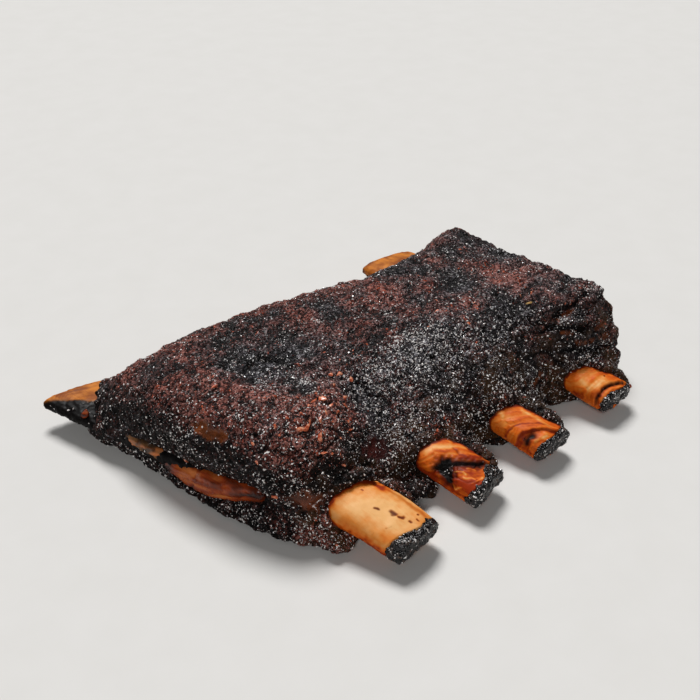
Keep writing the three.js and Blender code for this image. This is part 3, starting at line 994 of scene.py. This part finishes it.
class Ground:
    """Random places on a mesh, spread evenly by area, each with the mesh's named shares there."""

    def __init__(self, mesh, seed, keys=()):
        self.dice = random.Random(seed)
        mesh.calc_loop_triangles()
        self.corners = [v.co.copy() for v in mesh.vertices]
        self.normals = [v.normal.copy() for v in mesh.vertices]
        self.triangles = [tuple(t.vertices) for t in mesh.loop_triangles]
        columns = [[item.value for item in mesh.attributes[key].data] for key in keys]
        self.shares = [dict(zip(keys, row)) for row in zip(*columns)] or [{}] * len(mesh.vertices)
        total = 0.0
        self.totals = []
        for triangle in mesh.loop_triangles:
            total += triangle.area
            self.totals.append(total)

    def place(self):
        index = bisect.bisect(self.totals, self.dice.uniform(0.0, self.totals[-1]))
        a, b, c = self.triangles[min(index, len(self.triangles) - 1)]
        u, v = self.dice.random(), self.dice.random()
        if u + v > 1.0:
            u, v = 1.0 - u, 1.0 - v
        w = 1.0 - u - v
        point = self.corners[a] * w + self.corners[b] * u + self.corners[c] * v
        normal = self.normals[a] * w + self.normals[b] * u + self.normals[c] * v
        return point, normal.normalized(), self.shares[a]


def scatter(name, ground, shapes, count, size, density, material, sink, flat=False):
    """Strew grains over the ground: density gives the chance that one stays at a point."""
    dice = ground.dice
    bm = bmesh.new()
    made = tries = 0
    while made < count and tries < count * TRIES_PER_GRAIN:
        tries += 1
        point, normal, shares = ground.place()
        if dice.random() > density(point / MM, normal, shares):
            continue
        width = size[0] + (size[1] - size[0]) * dice.random() ** 2.5
        spin = Matrix.Rotation(dice.uniform(0, 2 * math.pi), 4, "Z")
        tip = Matrix.Rotation(dice.uniform(-0.5, 0.5) if flat else dice.uniform(0, 2 * math.pi), 4, "X")
        turn = normal.to_track_quat("Z", "Y").to_matrix().to_4x4() @ spin @ tip
        grain = dice.choice(shapes).copy()
        place = Matrix.Translation(point - normal * sink * width * MM)
        grain.transform(place @ turn @ Matrix.Scale(width, 4))
        bm.from_mesh(grain)
        bpy.data.meshes.remove(grain)
        made += 1
    return add_piece(name, to_mesh(bm, name), material, smooth=False)


def lay_flakes(name, shapes, tree, places, material):
    """Lay single flakes flat on the crust: each is the nearest place to a point, and a width."""
    dice = random.Random(name)
    bm = bmesh.new()
    for spot_there, width in places:
        point, normal, _, _ = tree.find_nearest(Vector(spot_there) * MM)
        turn = normal.to_track_quat("Z", "Y").to_matrix().to_4x4()
        flake = dice.choice(shapes).copy()
        flake.transform(Matrix.Translation(point + normal * FLAKE_LIFT * MM) @ turn
                        @ Matrix.Rotation(dice.uniform(0, 2 * math.pi), 4, "Z") @ Matrix.Scale(width, 4))
        bm.from_mesh(flake)
        bpy.data.meshes.remove(flake)
    return add_piece(name, to_mesh(bm, name), material, smooth=False)


LARGE_FLAKES = [  # place, width
    ((-90.3, -45.7, 50.4), 4.6), ((-94, -44.7, 50.6), 3.6), ((-87.6, -50.9, 45.8), 4.2),
    ((-90.2, -56.2, 40.5), 3.6), ((-77.1, -37.5, 53.7), 3.4), ((-72.3, -37.5, 53.1), 3.8),
    ((-61.6, -41.9, 47), 3.2), ((-45.1, -31.3, 50.9), 3.0), ((-114.4, -48.4, 25.3), 3.8),
    ((-103.1, 6.3, 55.5), 3.2), ((-58.7, -32.1, 52.9), 2.8), ((-51.9, -24.5, 54), 3.0),
    ((-122.8, 8.7, 19.3), 3.0), ((-57.6, -38.6, 48.3), 3.0), ((-49.1, -26.6, 53.7), 2.6),
]


def clustered(point, size):
    """A share of 0 to 1 that gathers grains in clusters of a given size."""
    return ramp(-0.3, 0.5, wave(point + Vector((3, 8, 1)), size, 2))


FLAKED = [  # where the large pale-orange flakes lie: centre, reach, share
    ((-90, -42, 51), (12, 10, 12), 0.5), ((-78, -60, 38), (10, 8, 10), 1.0),
    ((-70, -46, 46), (10, 10, 10), 1.0), ((-112, -36, 44), (8, 10, 8), 0.3),
    ((-92, 0, 57), (12, 12, 10), 0.15), ((38, -44, 54), (20, 8, 8), 0.3), ((70, -48, 55), (14, 10, 10), 0.2),
    ((-26, -68, 28), (16, 8, 12), 0.15), ((26, -30, 58), (16, 8, 8), 0.4), ((-28, 18, 56), (14, 10, 8), 0.2),
]
GLINTING = [  # where clumps of white grains lie as painted glints: centre, reach, share
    ((-4, -28, 56), (5, 3, 4), 1.6), ((2, -31, 56), (4, 3, 4), 1.6), ((119, -66, 51), (5, 4, 4), 1.2),
    ((-80, 6, 57), (4, 3, 4), 0.8), ((-76, -8, 57), (4, 2.5, 4), 0.8), ((-91, -11, 57), (3, 3, 4), 0.7),
    ((-67, -21, 55), (4, 4, 5), 0.8), ((-124, 45, 10), (7, 26, 7), 0.9), ((-95, -40, 50), (24, 22, 18), 0.3),
    ((-108, -58, 30), (12, 14, 14), 0.45), ((-100, -70, 9), (16, 14, 8), 0.7),
    ((-120, 0, 6), (10, 50, 6), 0.5), ((20, -74, 26), (30, 8, 10), 0.25),
    ((62, -78, 18), (44, 14, 14), 0.35), ((4, -74, 14), (24, 12, 12), 0.3),
    ((-50, -64, 26), (26, 12, 14), 0.4), ((-124, 25, 34), (9, 40, 10), 0.2),
]


def plain_crust(point, normal, shares):
    return shares["open"] * (1.0 - 0.4 * shares["hollow_shade"])


def reddish_crust(point, normal, shares):
    return plain_crust(point, normal, shares) * (0.03 + 0.97 * shares["red"])


def deep_red_crust(point, normal, shares):
    return shares["open"] * shares["red"] ** 2 * clustered(point, 9.0) ** 2


# Grey grains as painted sheen, on the silver patches and in clusters on the grey ones.
def silver_sheen_crust(point, normal, shares):
    share = 0.03 + 0.97 * shares["silver_sheen"] + 0.12 * shares["grey"] * clustered(point, 7.0)
    return plain_crust(point, normal, shares) * min(1.0, share)


def glinting_crust(point, normal, shares):
    clumps = spots(point, GLINTING)
    patch = clustered(point, 5.0) ** 2 * (0.15 + 0.85 * clustered(point, 19.0))
    share = 0.03 + 0.4 * patch + 0.6 * shares["silver_sheen"] + 0.8 * clumps
    share *= 1.0 - 0.4 * ramp(0, 60, point.y)
    share *= 1.0 - 0.25 * ramp(20, 50, point.x) * ramp(-50, -62, point.y)
    return plain_crust(point, normal, shares) * min(1.0, share)


def flaked_crust(point, normal, shares):
    return shares["open"] * min(1.0, spots(point, FLAKED))


def burnt_bone(point, normal, shares):
    """How black a bone is, burnt or painted with shade, where it is bare, off the floor."""
    return min(1.0, shares["dark"]) * shares["bare"] if point.z > 1.0 else 0.0


def burnt_only(point, normal, shares):
    """1 on the char that shows outside a bone, and 0 near the floor and where it lies inside the bone."""
    return 0.0 if point.z < 1.0 or depth_in_bones(point * MM) < -0.6 else 1.0


def burnt_glints(point, normal, shares):
    """White glints gather in clumps, mostly high up on the char."""
    return burnt_only(point, normal, shares) * (0.15 + 0.85 * ramp(6, 14, point.z) * clustered(point, 4.0))


CRUMBS = {  # dark, middle and light colour, roughness, shine, and where the middle colour lies
    "rub_dark": (((8, 6, 6), (17, 12, 11), (42, 34, 32)), 0.14, 0.55, 0.6),
    "rub_brown": (((32, 14, 11), (96, 45, 36), (160, 98, 84)), 0.26, 0.35),
    "rub_grey_sheen": (((26, 25, 28), (84, 82, 88), (180, 176, 182)), 0.17, 0.75),
    "rub_red": (((90, 32, 20), (150, 62, 38), (190, 98, 66)), 0.3, 0.3),
    "rub_flake": (((170, 66, 34), (214, 112, 76), (236, 172, 138)), 0.3, 0.4),
    "rub_pale_glints": (((176, 164, 160), (240, 234, 230), (255, 254, 252)), 0.2, 0.6),
    "seed": (((214, 160, 84), (240, 200, 130)), 0.3, 0.4),
}
RUB = [  # name, whether flakes, count, smallest and largest width, where, and how deep a grain sinks
    ("rub_dark", False, 24000, (0.55, 1.5), plain_crust, 0.2),
    ("rub_brown", False, 24000, (0.45, 1.2), reddish_crust, 0.15),
    # Grey grains stand in for sheen: painted sheen.
    ("rub_grey_sheen", False, 15000, (0.35, 1.1), silver_sheen_crust, 0.1),
    ("rub_red", True, 830, (0.8, 2.0), deep_red_crust, 0.05),
    ("rub_flake", True, 36, (1.4, 3.4), flaked_crust, 0.02),
    # White grains: salt, and painted glints.
    ("rub_pale_glints", False, 14000, (0.3, 1.15), glinting_crust, 0.0),
]
SEED = ((73, -52.9, 54), 4.2)  # place, width


def main():
    bark = bark_material()
    bone_finish = bone_material()
    char = char_material()
    strip = strip_material()
    meat = add_piece("meat_surface", shape_meat(), bark, replaced=("meat",))
    meat_tree = BVHTree.FromObject(meat, bpy.context.evaluated_depsgraph_get())
    bones = []
    ends = []
    for bone in BONES:
        skin = shape_bone(bone, meat_tree)
        bones.append(add_piece(bone + "_surface", skin, bone_finish, replaced=(bone,)))
        ends.append(add_piece(bone + "_char", shape_char(bone), char))
    for name, rows in STRIPS.items():
        add_piece(name, shape_strip(name, rows), strip)
    ground = Ground(meat.data, seed=7, keys=MEAT_SHARES)
    crystals = grain_shapes(seed=3, count=12, stretch=((0.8, 1.6), (0.6, 1.1), (0.45, 0.85)), rough=0.3)
    flakes = grain_shapes(seed=5, count=12, stretch=((0.8, 1.4), (0.55, 1.0), (0.25, 0.5)), rough=0.45,
                          flake=True)
    looks = {name: crumb_material(name, *look) for name, look in CRUMBS.items()}
    for name, flat, count, size, density, sink in RUB:
        scatter(name, ground, flakes if flat else crystals, count, size, density, looks[name], sink, flat)
    lay_flakes("large_flakes", flakes, meat_tree, LARGE_FLAKES, looks["rub_flake"])
    lay_flakes("seed", flakes, meat_tree, [SEED], looks["seed"])
    # White grains on the char and the bones are painted glints.
    dark, pale = looks["rub_dark"], looks["rub_pale_glints"]
    for end in ends:
        ground = Ground(end.data, seed=11)
        scatter(end.name + "_grit", ground, crystals, 200, (0.6, 1.4), burnt_only, dark, sink=0.2)
        scatter(end.name + "_glints", ground, crystals, 90, (0.4, 1.3), burnt_glints, pale, sink=0.1)
    for bone in bones:
        ground = Ground(bone.data, seed=13, keys=("dark", "bare"))
        scatter(bone.name + "_grit", ground, crystals, 360, (0.4, 1.1), burnt_bone, dark, sink=0.35)
        scatter(bone.name + "_glints", ground, crystals, 50, (0.4, 1.2), burnt_bone, pale, sink=0.1)


main()


# ---------- floor and light ----------
FLOOR_REACH = 40.0  # metres to each side, so that no edge shows
SKY_SEEN = 0.72  # strength of the studio's pale backdrop, for the camera
SKY_LIGHT = 0.09  # and as a light on the rack


def add_floor():
    bm = bmesh.new()
    bmesh.ops.create_grid(bm, x_segments=1, y_segments=1, size=FLOOR_REACH)
    floor = bpy.data.objects.new("floor", to_mesh(bm, "floor"))
    material, shader = new_material("floor")
    speck = shader.noise(shader.position(), 40.0)
    surface = shader.tree.nodes["Principled BSDF"]
    shader.set(surface.inputs["Base Color"], shader.mix(speck, rgb(214, 212, 208), rgb(220, 218, 215)))
    surface.inputs["Roughness"].default_value = 0.85
    floor.data.materials.append(material)
    bpy.context.scene.collection.objects.link(floor)


def add_lamp(name, towards, spread, power):
    """A far softbox's even light: the direction it lies in, its spread in degrees and its power."""
    data = bpy.data.lights.new(name, "SUN")
    data.angle = math.radians(spread)
    data.energy = power
    lamp = bpy.data.objects.new(name, data)
    lamp.rotation_mode = "QUATERNION"
    lamp.rotation_quaternion = Vector(towards).to_track_quat("Z", "Y")
    bpy.context.scene.collection.objects.link(lamp)


def add_light():
    add_lamp("overhead", towards=(0.38, 0.6, 1.0), spread=22.0, power=3.2)
    add_lamp("front", towards=(-0.9, -0.6, 0.8), spread=14.0, power=0.8)
    world = bpy.data.worlds.new("studio")
    world.use_nodes = True
    shader = Shader(world.node_tree)
    sky = world.node_tree.nodes["Background"]
    sky.inputs["Color"].default_value = (0.97, 0.98, 1.0, 1.0)
    seen = shader.node("ShaderNodeLightPath").outputs["Is Camera Ray"]
    shader.set(sky.inputs["Strength"], shader.mix_value(seen, SKY_LIGHT, SKY_SEEN))
    bpy.context.scene.world = world


add_floor()
add_light()
bpy.context.scene.view_settings.view_transform = "Standard"
